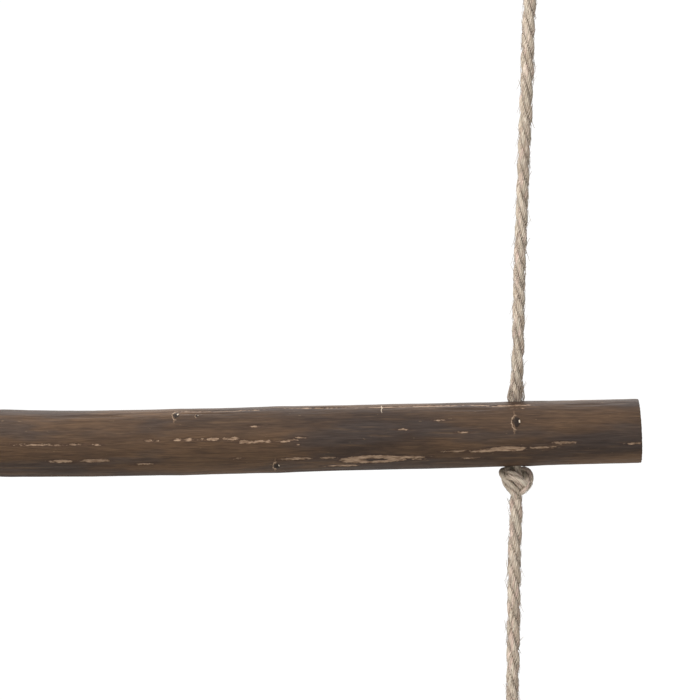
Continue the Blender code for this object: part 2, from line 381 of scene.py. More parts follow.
def bark_finish():
    """Thin smooth bark, dried and handled: matt, grey-brown, streaked along the branch."""
    material, tree, shader = new_finish("dried_branch_bark", roughness=0.78)
    shader.inputs["Specular IOR Level"].default_value = 0.3
    place = add(tree, "TexCoord", {}, {}).outputs["Object"]
    # Patterns drawn out along the branch: how often each changes in a metre along it and
    # across it, and how many finer steps it has.
    noises = {}
    for name, along, across, detail in (
        ("cloud", 13, 48, 4), ("streak", 42, 640, 3), ("fibre", 130, 1700, 2),
        ("pore", 320, 1000, 1), ("split", 55, 1300, 2), ("ragged", 500, 1400, 3),
        ("patch", 260, 1300, 2),
    ):
        drawn = add(tree, "Mapping", {}, {"Vector": place, "Scale": (along, across, across)})
        noises[name] = add(tree, "TexNoise", {}, {"Vector": drawn, "Scale": 1, "Detail": detail})
    # Clouds of grey and brown, about 75 mm long.
    cloud = add(tree, "MapRange", {}, {
        "Value": noises["cloud"], "From Min": 0.38, "From Max": 0.62})
    base = add(tree, "Mix", {"data_type": "RGBA"}, {
        0: cloud, 6: linear("#392b22"), 7: linear("#58422f")})
    # A grey bloom over parts of it.
    bloom = add(tree, "Mapping", {}, {"Vector": place, "Location": (3, 1, 2), "Scale": (16, 70, 70)})
    bloom = add(tree, "TexNoise", {}, {"Vector": bloom, "Scale": 1, "Detail": 3})
    bloom = add(tree, "MapRange", SOFT, {
        "Value": bloom, "From Min": 0.48, "From Max": 0.62, "To Max": 0.6})
    # Streaks, about 25 mm long and 1.5 mm wide, some darker and redder, some paler.
    dark = add(tree, "MapRange", {}, {
        "Value": noises["streak"], "From Min": 0.54, "From Max": 0.70, "To Max": 0.4})
    pale = add(tree, "MapRange", {}, {
        "Value": noises["streak"], "From Min": 0.44, "From Max": 0.28, "To Max": 0.4})
    for share, colour in ((bloom, "#3f3632"), (dark, "#302118"), (pale, "#67503a")):
        base = add(tree, "Mix", {"data_type": "RGBA"}, {
            0: share, 6: base.outputs[2], 7: linear(colour)})
    # Fine fibres of the bark, about 8 mm long and 0.6 mm wide.
    fibre_shade = add(tree, "MapRange", {}, {
        "Value": noises["fibre"], "From Min": 0.3, "From Max": 0.7, "To Min": 0.78, "To Max": 1.2})
    base = add(tree, "Mix", {"data_type": "RGBA", "blend_type": "MULTIPLY"}, {
        0: 1.0, 6: base.outputs[2], 7: fibre_shade})
    # Pale breathing pores, about 3 mm long, and hair-thin dark splits.
    fleck = add(tree, "MapRange", SOFT, {
        "Value": noises["pore"], "From Min": 0.74, "From Max": 0.80, "To Max": 0.4})
    split = add(tree, "MapRange", SOFT, {
        "Value": noises["split"], "From Min": 0.64, "From Max": 0.74, "To Max": 0.45})
    # Scrapes down to the pale inner bark, with a ragged edge and a faint dark rim; along the middle
    # rung's top edge they are partly a painted highlight.
    scrape = add(tree, "Attribute", {"attribute_name": "scrape"}, {})
    edge = add(tree, "Math", {"operation": "MULTIPLY_ADD"}, {0: noises["ragged"], 1: 1.6, 2: -0.70})
    depth = add(tree, "Math", {"operation": "ADD"}, {0: scrape.outputs["Fac"], 1: edge})
    rim = add(tree, "MapRange", SOFT, {
        "Value": depth, "From Min": -0.50, "From Max": -0.05, "To Max": 0.35})
    bare = add(tree, "MapRange", SOFT, {
        "Value": depth, "From Min": 0.02, "From Max": 0.42, "To Max": 0.9})
    patch = add(tree, "MapRange", {}, {
        "Value": noises["patch"], "From Min": 0.36, "From Max": 0.62})
    inner = add(tree, "Mix", {"data_type": "RGBA"}, {
        0: patch, 6: linear("#735b47"), 7: linear("#ab9077")})
    # Buds: a dark scar, a painted highlight as a small pale dot beside its middle, a pale arc
    # on its left, and the thin pale line that runs a little way round the branch beside it.
    bud = add(tree, "Attribute", {"attribute_name": "bud"}, {}).outputs["Vector"]
    uneven = add(tree, "TexNoise", {}, {"Vector": place, "Scale": 700, "Detail": 2})
    uneven = add(tree, "VectorMath", {"operation": "MULTIPLY_ADD"}, {
        0: uneven.outputs["Color"], 1: (2.6, 2.6, 0), 2: (-1.3, -1.3, 0)})
    bud = add(tree, "VectorMath", {"operation": "ADD"}, {0: bud, 1: uneven}).outputs[0]
    oval = add(tree, "VectorMath", {"operation": "MULTIPLY"}, {0: bud, 1: (1 / 2.1, 1 / 3.1, 1)})
    span = add(tree, "VectorMath", {"operation": "LENGTH"}, {0: oval})
    scar = add(tree, "MapRange", SOFT, {
        "Value": span.outputs["Value"], "From Min": 1.05, "From Max": 0.75, "To Max": 0.85})
    sides = add(tree, "SeparateXYZ", {}, {0: bud})
    off_line = add(tree, "Math", {"operation": "ADD"}, {0: sides, 1: 1.3})
    off_line = add(tree, "Math", {"operation": "ABSOLUTE"}, {0: off_line})
    line = add(tree, "MapRange", SOFT, {
        "Value": off_line, "From Min": 0.55, "From Max": 0.15, "To Max": 0.45})
    reach = add(tree, "VectorMath", {"operation": "MULTIPLY"}, {0: bud, 1: (0, 1, 1)})
    reach = add(tree, "VectorMath", {"operation": "LENGTH"}, {0: reach})
    reach = add(tree, "MapRange", {}, {
        "Value": reach.outputs["Value"], "From Min": 8.0, "From Max": 5.0})
    line = add(tree, "Math", {"operation": "MULTIPLY"}, {0: line, 1: reach})
    # A painted highlight: a small pale cream dot right of each bud's middle.
    beside = add(tree, "VectorMath", {"operation": "SUBTRACT"}, {0: bud, 1: (1.3, 0.6, 0)})
    spot = add(tree, "VectorMath", {"operation": "MULTIPLY"}, {
        0: beside, 1: (1 / 0.62, 1 / 0.85, 1)})
    spot = add(tree, "VectorMath", {"operation": "LENGTH"}, {0: spot})
    painted_bud_highlight = add(tree, "MapRange", SOFT, {
        "Value": spot.outputs["Value"], "From Min": 1.1, "From Max": 0.7})
    off_arc = add(tree, "Math", {"operation": "SUBTRACT"}, {0: span.outputs["Value"], 1: 1.3})
    off_arc = add(tree, "Math", {"operation": "ABSOLUTE"}, {0: off_arc})
    arc = add(tree, "MapRange", SOFT, {
        "Value": off_arc, "From Min": 0.16, "From Max": 0.05})
    left = add(tree, "MapRange", {}, {"Value": sides, "From Min": 0.2, "From Max": -1.0})
    arc = add(tree, "Math", {"operation": "MULTIPLY"}, {0: arc, 1: left})
    nick = add(tree, "VectorMath", {"operation": "SUBTRACT"}, {0: bud, 1: (NICK_SHIFT, 0, 0)})
    nick = add(tree, "VectorMath", {"operation": "MULTIPLY"}, {
        0: nick, 1: (1 / 0.36, 1 / 5.0, 1)})
    nick = add(tree, "VectorMath", {"operation": "LENGTH"}, {0: nick})
    nick = add(tree, "MapRange", SOFT, {
        "Value": nick.outputs["Value"], "From Min": 1.0, "From Max": 0.5})
    for share, colour in (
        (fleck, linear("#80694f")), (split, linear("#231813")), (rim, linear("#2f1c15")),
        (bare, inner.outputs[2]), (line, linear("#8b7058")), (scar, linear("#1a110c")),
        (painted_bud_highlight, linear("#cdbda8")), (arc, linear("#97806a")), (nick, linear("#c9b8a2")),
    ):
        base = add(tree, "Mix", {"data_type": "RGBA"}, {
            0: share, 6: base.outputs[2], 7: colour})
    tree.links.new(base.outputs[2], shader.inputs["Base Color"])
    grain = add(tree, "Math", {"operation": "ADD"}, {0: noises["fibre"], 1: noises["streak"]})
    bump = add(tree, "Bump", {}, {"Height": grain, "Strength": 0.55, "Distance": 0.0004})
    tree.links.new(bump.outputs[0], shader.inputs["Normal"])
    return material


def sawn_finish():
    """End grain of a dried branch: rings about 1.5 mm apart, greyed, with dark bark round it."""
    material, tree, shader = new_finish("sawn_end_grain", roughness=0.85)
    cut = add(tree, "Attribute", {"attribute_name": "cut"}, {}).outputs["Vector"]
    parts = add(tree, "SeparateXYZ", {}, {0: cut})
    flat = add(tree, "VectorMath", {"operation": "MULTIPLY"}, {0: cut, 1: (1, 1, 0)})
    wobble = add(tree, "TexNoise", {}, {"Vector": flat, "Scale": 0.16, "Detail": 2})
    from_pith = add(tree, "VectorMath", {"operation": "LENGTH"}, {0: flat})
    ring = add(tree, "Math", {"operation": "MULTIPLY_ADD"}, {
        0: wobble, 1: 2.2, 2: from_pith.outputs["Value"]})
    ring = add(tree, "Math", {"operation": "MULTIPLY"}, {0: ring, 1: 2 * math.pi / 1.5})
    ring = add(tree, "Math", {"operation": "SINE"}, {0: ring})
    band = add(tree, "MapRange", {}, {"Value": ring, "From Min": -1, "From Max": 1})
    wood = add(tree, "Mix", {"data_type": "RGBA"}, {
        0: band, 6: linear("#b99a78"), 7: linear("#94734f")})
    pores = add(tree, "TexNoise", {}, {"Vector": flat, "Scale": 2.5, "Detail": 3})
    shade = add(tree, "MapRange", {}, {
        "Value": pores, "From Min": 0.3, "From Max": 0.7, "To Min": 0.7, "To Max": 1.15})
    wood = add(tree, "Mix", {"data_type": "RGBA", "blend_type": "MULTIPLY"}, {
        0: 1.0, 6: wood.outputs[2], 7: shade})
    pith = add(tree, "MapRange", SOFT, {
        "Value": from_pith.outputs["Value"], "From Min": 1.6, "From Max": 0.8})
    skin = add(tree, "MapRange", SOFT, {
        "Value": parts.outputs[2], "From Min": 1.5, "From Max": 1.0})
    for share, colour in ((pith, "#5b4331"), (skin, "#3d2c23")):
        wood = add(tree, "Mix", {"data_type": "RGBA"}, {
            0: share, 6: wood.outputs[2], 7: linear(colour)})
    tree.links.new(wood.outputs[2], shader.inputs["Base Color"])
    bump = add(tree, "Bump", {}, {"Height": pores, "Strength": 0.5, "Distance": 0.0003})
    tree.links.new(bump.outputs[0], shader.inputs["Normal"])
    return material


bark = bark_finish()
sawn_wood = sawn_finish()
for number, rung in enumerate(RUNGS, 1):
    mesh = rung_mesh(number, rung)
    mesh.materials.append(bark)
    mesh.materials.append(sawn_wood)
    branch = place_object(f"branch_rung_{number}", mesh)
    for x in rung.holes:
        drill(branch, x, branch_centre(rung, x).z)
    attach(branch, f"step_{number}")
    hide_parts(f"rung_{number}")

# ------------------------------------------------------------
# Side ropes. Hand-laid jute, 6.5 mm thick: three strands, each of eight yarns twisted the
# other way, with short fibres standing out all along. Each rope hangs straight from knot to
# rung and is fluffed up where it squeezes into a hole.

ROPE_RADIUS = 0.00325
PIVOT_CLEAR = ROPE_RADIUS + 0.0003
STRANDS = 3
STRAND_RADIUS = 0.00182
STRAND_OFFSET = 0.00143
LAY_LENGTH = 0.034
YARNS = 8
YARN_OUTLINE = (0.84, 1.0, 0.99)
YARN_LAY = 0.021
RING_SPACING = 0.00125
LAY_DRIFT = 0.6
UNEVENNESS = 0.15
FIBRE_RADIUS = 0.00011
# Loose fibres count as lying this deep, so they take part of the painted groove shade.
FIBRE_DEPTH = 0.66
STRAY_SHARE = 0.12
FIBRES_PER_MM = 3.6
FLUFF_YARNS = 46
FLUFF_HEIGHT = 0.012
SWAY_MM = 0.45
KNOT_HEIGHT = 0.0155
KNOT_TO_RUNG = 0.0005
EYE_X = 0.184
SIDES = ("left", "right")
UP = Vector((0, 0, 1))
# How far a stretch reaches into the hole below it, and past its upper bend into the knot.
HOLE_REACH = 0.0030
KNOT_REACH = 0.0035

# A rope's centre line, with two directions across it at each of its evenly spaced points.
Run = namedtuple("Run", "along points sides fronts")


def above_rung(rung, side):
    """The bend point of a rope just above a rung's hole."""
    x = rung.holes[side]
    return Vector((x, 0, branch_centre(rung, x).z + branch_radius(rung, x) + PIVOT_CLEAR))


def below_knot(rung, side):
    """The bend point of a rope just below the knot under a rung."""
    x = rung.holes[side]
    underside = branch_centre(rung, x).z - branch_radius(rung, x)
    return Vector((x, 0, underside - KNOT_TO_RUNG - KNOT_HEIGHT - PIVOT_CLEAR))


def smooth_run(route, spacing=RING_SPACING):
    """A smooth run through the route's points, from its lowest end, carried without twist."""
    route = [np.array(point) for point in route]
    ends = [2 * route[0] - route[1]] + route + [2 * route[-1] - route[-2]]
    fine = []
    for a, b, c, d in zip(ends, ends[1:], ends[2:], ends[3:]):
        for t in np.linspace(0, 1, 16, endpoint=False):
            curve = 2 * b + (c - a) * t + (2 * a - 5 * b + 4 * c - d) * t ** 2
            fine.append((curve + (3 * b - a - 3 * c + d) * t ** 3) / 2)
    fine = np.array(fine + [route[-1]])
    travelled = np.concatenate([[0], np.cumsum(np.linalg.norm(np.diff(fine, axis=0), axis=1))])
    along = np.linspace(0, travelled[-1], max(4, round(travelled[-1] / spacing) + 1))
    points = np.stack([np.interp(along, travelled, fine[:, k]) for k in range(3)], 1)
    tangents = np.gradient(points, axis=0)
    tangents /= np.linalg.norm(tangents, axis=1)[:, None]
    side, sides = np.array((1.0, 0.0, 0.0)), []
    for tangent in tangents:
        side = side - tangent * side.dot(tangent)
        side /= np.linalg.norm(side)
        sides.append(side)
    return Run(along, points, np.array(sides), np.cross(tangents, sides))


def beside(run, along, angle, distance):
    """The point that lies at an angle and a distance beside the run."""
    spot = [np.interp(along, run.along, run.points[:, k]) for k in range(3)]
    side = [np.interp(along, run.along, run.sides[:, k]) for k in range(3)]
    front = [np.interp(along, run.along, run.fronts[:, k]) for k in range(3)]
    out = np.array(side) * math.cos(angle) + np.array(front) * math.sin(angle)
    return np.array(spot) + out * distance


def add_spline(curve, points, radii, twists=None):
    """Adds a run of straight pieces, with the radius and the twist at each point."""
    spline = curve.splines.new("POLY")
    spline.points.add(len(points) - 1)
    spots = np.column_stack([points, np.ones(len(points))])
    spline.points.foreach_set("co", spots.ravel())
    spline.points.foreach_set("radius", np.broadcast_to(radii, len(points)).astype(float))
    if twists is not None:
        spline.points.foreach_set("tilt", twists)


def swept(curve):
    """The open-ended mesh that a bevelled curve sweeps."""
    thing = place_object("sweep", curve)
    evaluated = thing.evaluated_get(bpy.context.evaluated_depsgraph_get())
    mesh = bpy.data.meshes.new_from_object(evaluated)
    bpy.data.objects.remove(thing)
    return mesh


def yarn_outline():
    """The outline of a strand: a circle of unit radius with a groove between its yarns."""
    curve = bpy.data.curves.new("strand_outline", "CURVE")
    count = YARNS * len(YARN_OUTLINE)
    angles = np.arange(count) * 2 * math.pi / count
    radii = np.tile(YARN_OUTLINE, YARNS)
    flat = np.stack([radii * np.cos(angles), radii * np.sin(angles), 0 * angles], 1)
    add_spline(curve, flat, 1.0)
    curve.splines[0].use_cyclic_u = True
    return place_object("strand_outline", curve)


strand_outline = yarn_outline()


def strands_mesh(run, swell, draw, opening=0):
    """Three strands laid round a run, with each point's place in the yarns as attributes."""
    curve = bpy.data.curves.new("strands", "CURVE")
    curve.dimensions = "3D"
    curve.bevel_mode = "OBJECT"
    curve.bevel_object = strand_outline
    rings, outline_count = len(run.along), YARNS * len(YARN_OUTLINE)
    start = run.points[0][2]
    uneven = draw.uniform(0, 100)
    drift = [LAY_DRIFT * noise.noise(Vector((uneven, s * 30, 0))) for s in run.along]
    ease = np.minimum(1, np.minimum(run.along, run.along[-1] - run.along) / 0.02)
    phase = -2 * math.pi * (start + run.along) / LAY_LENGTH + np.array(drift) * ease
    for strand in range(STRANDS):
        angle = phase + strand * 2 * math.pi / STRANDS
        out = np.cos(angle)[:, None] * run.sides + np.sin(angle)[:, None] * run.fronts
        full = np.array([
            1 + UNEVENNESS * noise.noise(Vector((s * 130, uneven, strand * 9.1)))
            for s in run.along])
        points = run.points + out * (STRAND_OFFSET * swell * full * (1 + opening))[:, None]
        twists = 2 * math.pi * run.along / YARN_LAY + strand
        add_spline(curve, points, STRAND_RADIUS * swell * full, twists)
    mesh = swept(curve)
    order = np.arange(STRANDS * rings * outline_count)
    ring = order // outline_count % rings
    column = order % outline_count
    strand = order // (outline_count * rings)
    circle = 2 * math.pi * STRAND_RADIUS / MM
    lay = np.stack([run.along[ring] / MM + strand * 311.0, column * circle / outline_count,
                    strand * 17.0 + uneven], 1)
    places = np.empty(len(mesh.vertices) * 3)
    mesh.vertices.foreach_get("co", places)
    from_axis = np.linalg.norm(places.reshape(-1, 3) - run.points[ring], axis=1)
    depth = from_axis / (ROPE_RADIUS * swell[ring])
    depth = depth * np.tile(YARN_OUTLINE, YARNS)[column]
    set_lay(mesh, lay, depth)
    return mesh


def set_lay(mesh, lay, depth):
    """Stores the place along and round a strand in millimetres, and the share of the radius."""
    mesh.attributes.new("lay", "FLOAT_VECTOR", "POINT").data.foreach_set("vector", lay.ravel())
    mesh.attributes.new("depth", "FLOAT", "POINT").data.foreach_set("value", depth)


def fibres_mesh(paths, radii):
    """Thin loose fibres, each along its own few points and thinner to its tip."""
    curve = bpy.data.curves.new("fibres", "CURVE")
    curve.dimensions = "3D"
    curve.bevel_depth = 1
    curve.bevel_resolution = 0
    for path, radius in zip(paths, radii):
        add_spline(curve, np.array(path), np.linspace(radius, radius * 0.45, len(path)))
    mesh = swept(curve)
    count = len(mesh.vertices)
    fibre = np.repeat(np.arange(len(paths)), [4 * len(path) for path in paths])
    lay = np.stack([np.arange(count) * 0.15, fibre * 0.9, fibre * 3.7], 1)
    set_lay(mesh, lay, np.full(count, FIBRE_DEPTH))
    return mesh


def fuzz_paths(run, draw, per_mm, swell, reach=1.0):
    """Short fibres that lift off a rope's surface, and now and then a longer one."""
    paths, radii = [], []
    total = run.along[-1]
    for _ in range(round(per_mm * total / MM)):
        stray = draw.random() < STRAY_SHARE
        length = draw.uniform(4, 8) * MM if stray else draw.uniform(1.5, 4.5) * MM
        lift = draw.uniform(1.0, 2.6) * MM if stray else draw.uniform(0.15, 0.9) * MM
        heading = draw.choice((-1, 1))
        along = draw.uniform(0, total)
        angle = draw.uniform(0, 2 * math.pi)
        turn = draw.uniform(-0.7, 0.7)
        surface = ROPE_RADIUS * np.interp(along, run.along, swell) * 0.93
        path = []
        for share in (0, 0.3, 0.6, 0.85, 1.0):
            where = min(max(along + heading * length * share, 0), total)
            rise = lift * reach * share ** 1.5 * draw.uniform(0.85, 1.1)
            path.append(beside(run, where, angle + turn * share, surface + rise))
        paths.append(path)
        radii.append(FIBRE_RADIUS * draw.uniform(0.7, 1.25) * (1.5 if stray else 1))
    return paths, radii


def fluff_paths(run, draw, count, mouth, height):
    """Loose yarns that bulge where the rope is squeezed into a hole, at mouth along its run."""
    paths, radii = [], []
    for k in range(count):
        angle = 2 * math.pi * (k + draw.random()) / count
        bulge = draw.uniform(3.9, 5.3) * MM
        top = height * draw.uniform(0.6, 1.15)
        turn = draw.uniform(-0.5, 0.3)
        steps = (
            (mouth + top, 3.0 * MM), (mouth + top * 0.75, 3.4 * MM), (mouth + top * 0.5, bulge * 0.9),
            (mouth + top * 0.25, bulge), (mouth + 0.7 * MM, bulge * 0.93), (mouth - 0.8 * MM, 3.3 * MM),
        )
        paths.append([
            beside(run, along, angle + turn * along / height, distance) for along, distance in steps])
        radii.append(draw.uniform(0.10, 0.24) * MM)
    return paths, radii


def rope_object(name, shape):
    """The smooth jute object that a finished bmesh makes."""
    mesh = as_mesh(name, shape)
    mesh.shade_smooth()
    mesh.materials.append(jute)
    thing = place_object(name, mesh)
    return thing


def finish_rope(name, parts):
    """One closed mesh object from strands and fibres."""
    shape = bmesh.new()
    for part in parts:
        shape.from_mesh(part)
        bpy.data.meshes.remove(part)
    bmesh.ops.holes_fill(shape, edges=[e for e in shape.edges if e.is_boundary], sides=0)
    bmesh.ops.recalc_face_normals(shape, faces=shape.faces)
    return rope_object(name, shape)


def cut_at(thing, name, height, keep_upper):
    """A copy of a rope that ends at a height, closed there."""
    shape = bmesh.new()
    shape.from_mesh(thing.data)
    geometry = shape.verts[:] + shape.edges[:] + shape.faces[:]
    bmesh.ops.bisect_plane(
        shape, geom=geometry, plane_co=(0, 0, height), plane_no=(0, 0, 1),
        clear_inner=keep_upper, clear_outer=not keep_upper,
    )
    bmesh.ops.holes_fill(shape, edges=[e for e in shape.edges if e.is_boundary], sides=0)
    return rope_object(name, shape)


def jute_finish():
    """Jute: dull, dry bast fibre, greyish tan, with painted shade between its strands and yarns, and a
    soft sheen.
    """
    material, tree, shader = new_finish("laid_jute_rope", roughness=0.9)
    shader.inputs["Specular IOR Level"].default_value = 0.25
    shader.inputs["Sheen Weight"].default_value = 0.15
    lay = add(tree, "Attribute", {"attribute_name": "lay"}, {}).outputs["Vector"]
    depth = add(tree, "Attribute", {"attribute_name": "depth"}, {}).outputs["Fac"]
    # Single fibres are 0.05 mm thick, so bundles of them, about 0.4 mm wide, are drawn.
    # Each pattern changes this often in a millimetre, along the yarns and across them.
    noises = {}
    for name, along, across, detail in (
        ("bundle", 0.12, 2.6, 3), ("gap", 0.30, 1.5, 1), ("tint", 0.07, 0.4, 1),
    ):
        drawn = add(tree, "VectorMath", {"operation": "MULTIPLY"}, {0: lay, 1: (along, across, 1)})
        noises[name] = add(tree, "TexNoise", {}, {"Vector": drawn, "Scale": 1, "Detail": detail})
    tone = add(tree, "MapRange", {}, {"Value": noises["bundle"], "From Min": 0.36, "From Max": 0.68})
    base = add(tree, "Mix", {"data_type": "RGBA"}, {
        0: tone, 6: linear("#a08d78"), 7: linear("#e6dac9")})
    # Short dark streaks, painted shade standing for gaps where the yarns have parted.
    gap = add(tree, "MapRange", SOFT, {
        "Value": noises["gap"], "From Min": 0.62, "From Max": 0.76, "To Max": 0.75})
    # Warmer and greyer lengths of yarn, and painted shade in the hollows between strands, which also
    # greys the loose fibres.
    warm = add(tree, "MapRange", {}, {
        "Value": noises["tint"], "From Min": 0.52, "From Max": 0.68, "To Max": 0.55})
    cool = add(tree, "MapRange", {}, {
        "Value": noises["tint"], "From Min": 0.46, "From Max": 0.32, "To Max": 0.5})
    painted_groove_shade = add(tree, "MapRange", SOFT, {
        "Value": depth, "From Min": 0.80, "From Max": 0.55, "To Max": 0.62})
    for share, colour in (
        (gap, "#66564a"), (warm, "#d9bcb0"), (cool, "#bdb5a4"), (painted_groove_shade, "#5d4d40"),
    ):
        base = add(tree, "Mix", {"data_type": "RGBA"}, {
            0: share, 6: base.outputs[2], 7: linear(colour)})
    tree.links.new(base.outputs[2], shader.inputs["Base Color"])
    bump = add(tree, "Bump", {}, {
        "Height": noises["bundle"], "Strength": 0.6, "Distance": 0.0003})
    tree.links.new(bump.outputs[0], shader.inputs["Normal"])
    return material


jute = jute_finish()


def rope_route(top, bottom, draw):
    """A hanging stretch from inside the hole below it to inside the knot above it."""
    low = bottom - UP * (PIVOT_CLEAR + HOLE_REACH)
    high = top + UP * KNOT_REACH
    route = [low, bottom]
    for share in (0.1, 0.25, 0.4, 0.55, 0.7, 0.85, 0.95):
        across, deep = draw.uniform(-SWAY_MM, SWAY_MM), draw.uniform(-SWAY_MM, SWAY_MM)
        sway = Vector((across, deep, 0)) * MM
        route.append(bottom.lerp(top, share) + sway)
    return route + [top, high]


def rope_stretch(number, side, top, bottom):
    """A stretch of side rope, cut at its middle into two halves."""
    draw = random.Random(f"stretch {number} {side}")
    run = smooth_run(rope_route(top, bottom, draw))
    # The rope is 9% thicker towards the knot above it, bulges 5 mm above the rung, and is
    # squeezed where it enters the hole and the knot.
    total = run.along[-1]
    swell = 1.03 + 0.09 * step_up(run.along, total - 0.16, total - 0.03)
    swell += 0.16 * np.exp(-((run.along - HOLE_REACH - 0.005) / 0.005) ** 2)
    swell -= 0.10 * step_up(run.along, HOLE_REACH, HOLE_REACH - 0.002)
    swell -= 0.22 * step_up(run.along, total - 0.0030, total - 0.0005)
    fuzz, fuzz_radii = fuzz_paths(run, draw, FIBRES_PER_MM, swell)
    fluff, fluff_radii = fluff_paths(run, draw, FLUFF_YARNS, HOLE_REACH, FLUFF_HEIGHT)
    parts = [strands_mesh(run, swell, draw), fibres_mesh(fuzz + fluff, fuzz_radii + fluff_radii)]
    whole = finish_rope(f"whole_{number}_{side}", parts)
    middle = (top.z + bottom.z) / 2
    name = f"rope_stretch_{number}_{SIDES[side]}"
    above = "eyes" if number == 1 else f"step_{number - 1}"
    for part, keep_upper, bodies, bend in (
        ("upper", True, (above, f"bay_{number}"), top),
        ("lower", False, (f"bay_{number}", f"step_{number}"), bottom),
    ):
        half = cut_at(whole, f"{name}_{part}", middle, keep_upper)
        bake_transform(half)
        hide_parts(f"rope_{number}_{SIDES[side]}")
    bpy.data.objects.remove(whole)


# ------------------------------------------------------------
# Knots. Under each rung the rope is tied in a tight overhand knot, 18 mm across, which the
# rung rests on. Pulled that tight, the rope is squeezed to about 5.9 mm.

KNOT_SQUEEZE = 0.90
KNOT_FIBRES_PER_MM = 1.8
# The joint of bay 1 is where each rope first bends, just below its loop knot.
FIRST_BEND = {joint["name"]: joint["pos_m"] for joint in frame["joints"]}["bay_1_fold"][2]
# The route of a knot, from its foot up, in millimetres from its middle.
KNOT_ROUTE = (
    (0.0, 0.0, -9.8), (0.0, -0.2, -7.6), (-0.8, -1.6, -5.2), (-3.6, -2.4, -1.4),
    (-6.5, -1.3, 3.8), (-5.2, 1.6, 5.8), (-0.4, 3.4, 5.5), (5.0, 2.8, 5.2),
    (6.5, 0.3, 1.9), (5.0, -2.4, -2.8), (1.4, 0.8, -5.0), (-2.6, 3.6, -2.8),
    (-4.8, 1.8, 1.0), (-3.8, -3.2, 3.4), (0.6, -5.0, 1.4), (3.7, -3.2, -1.2),
    (2.4, 0.8, 0.8), (0.4, 0.6, 5.0), (0.0, 0.0, 9.0),
)


def rung_knot(number, rung, side):
    """The knot under a rung, with the rope that fills the rung's hole above it."""
    draw = random.Random(f"knot {number} {side}")
    hand = 2 * side - 1
    turn = 0 if number == MIDDLE_RUNG else draw.uniform(-0.35, 0.35)
    foot = below_knot(rung, side) + UP * PIVOT_CLEAR
    middle = foot + UP * (KNOT_HEIGHT / 2)
    spin = Matrix.Rotation(turn, 3, "Z")
    route = [middle + spin @ Vector((x * hand, y, z)) * MM for x, y, z in KNOT_ROUTE]
    # Above the knot it runs straight up through the hole, to 2 mm below the hole's top.
    hole_top = above_rung(rung, side).z - PIVOT_CLEAR
    for height in (middle.z + 0.014, middle.z + 0.022, hole_top - 0.002):
        route.append(Vector((middle.x, 0, height)))
    run = smooth_run(route, spacing=0.0009)
    # Full thickness again at its foot and in the last 30 mm or so, which is in the hole.
    total = run.along[-1]
    swell = np.full(len(run.along), KNOT_SQUEEZE)
    swell += (1 - KNOT_SQUEEZE) * step_up(run.along, 0.005, 0.0)
    swell += (1 - KNOT_SQUEEZE) * step_up(run.along, total - 0.034, total - 0.028)
    fuzz, radii = fuzz_paths(run, draw, KNOT_FIBRES_PER_MM, swell)
    knot = finish_rope(f"overhand_knot_{number}_{SIDES[side]}",
                       [strands_mesh(run, swell, draw), fibres_mesh(fuzz, radii)])
    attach(knot, f"step_{number}")
    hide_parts(f"knot_{number}_{SIDES[side]}")


for side in range(2):
    start = Vector(((2 * side - 1) * EYE_X, 0, FIRST_BEND))
    for number, rung in enumerate(RUNGS, 1):
        rope_stretch(number, side, start, above_rung(rung, side))
        rung_knot(number, rung, side)
        start = below_knot(rung, side)

# ------------------------------------------------------------
# Loose ends. Each rope runs on for nearly 60 mm below its lowest knot and is simply cut
# there, so its strands open and its yarns come apart into a brush.

TAIL_LENGTH = 0.055
BRUSH_YARNS = 170
BRUSH_LENGTH = 0.012
STRANDS_STOP = 0.0055
STRANDS_OPEN = 0.9
END_FIBRES_PER_MM = 2.4


def brush_paths(run, draw, count, length):
    """Yarns that have come apart at a rope's lowest end."""
    paths, radii = [], []
    for _ in range(count):
        angle = draw.uniform(0, 2 * math.pi)
        root, tip = draw.uniform(0.4, 2.6) * MM, draw.uniform(0.8, 4.3) * MM
        top = length * draw.uniform(0.7, 1.3)
        low = draw.uniform(0, 0.25) * length
        turn = draw.uniform(-0.6, 0.6)
        paths.append([
            beside(run, top + (low - top) * share, angle + turn * share,
                   root + (tip - root) * share ** 1.6) for share in (0, 0.3, 0.6, 0.85, 1)])
        radii.append(draw.uniform(0.10, 0.22) * MM)
    return paths, radii


def cut_end(name, top, bottom, draw):
    """A hanging rope end, from inside the knot above it to its brush."""
    sway = Vector((0.5, -0.4, 0)) * MM
    route = [bottom, bottom.lerp(top, 0.35) + sway, bottom.lerp(top, 0.7), top]
    run = smooth_run(route)
    # The strands thin out and open over the last 20 mm and stop short of the brush's tips.
    swell = np.ones(len(run.along))
    swell -= 0.30 * step_up(run.along, 0.013, 0.006)
    swell -= 0.12 * step_up(run.along, run.along[-1] - 0.0025, run.along[-1] - 0.0005)
    fuzz, radii = fuzz_paths(run, draw, END_FIBRES_PER_MM, swell)
    brush, brush_radii = brush_paths(run, draw, BRUSH_YARNS, BRUSH_LENGTH)
    opening = STRANDS_OPEN * step_up(run.along, 0.020, 0.006)
    laid = run.along > STRANDS_STOP
    strands = strands_mesh(Run(*(part[laid] for part in run)), swell[laid], draw, opening[laid])
    end = finish_rope(name, [strands, fibres_mesh(fuzz + brush, radii + brush_radii)])
    return end, run


for side, word in enumerate(SIDES):
    bend = below_knot(RUNGS[-1], side)
    draw = random.Random(f"loose end {side}")
    end, run = cut_end(f"loose_end_{word}", bend + UP * KNOT_REACH,
                       bend - UP * TAIL_LENGTH, draw)
    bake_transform(end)
    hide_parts(f"tail_{word}")

# ------------------------------------------------------------
# Eyes. Each rope is doubled at its top and tied in an overhand loop knot, 24 mm across. That
# leaves an open eye, 64 mm high, to hang the ladder from, and a short frayed end under the knot.

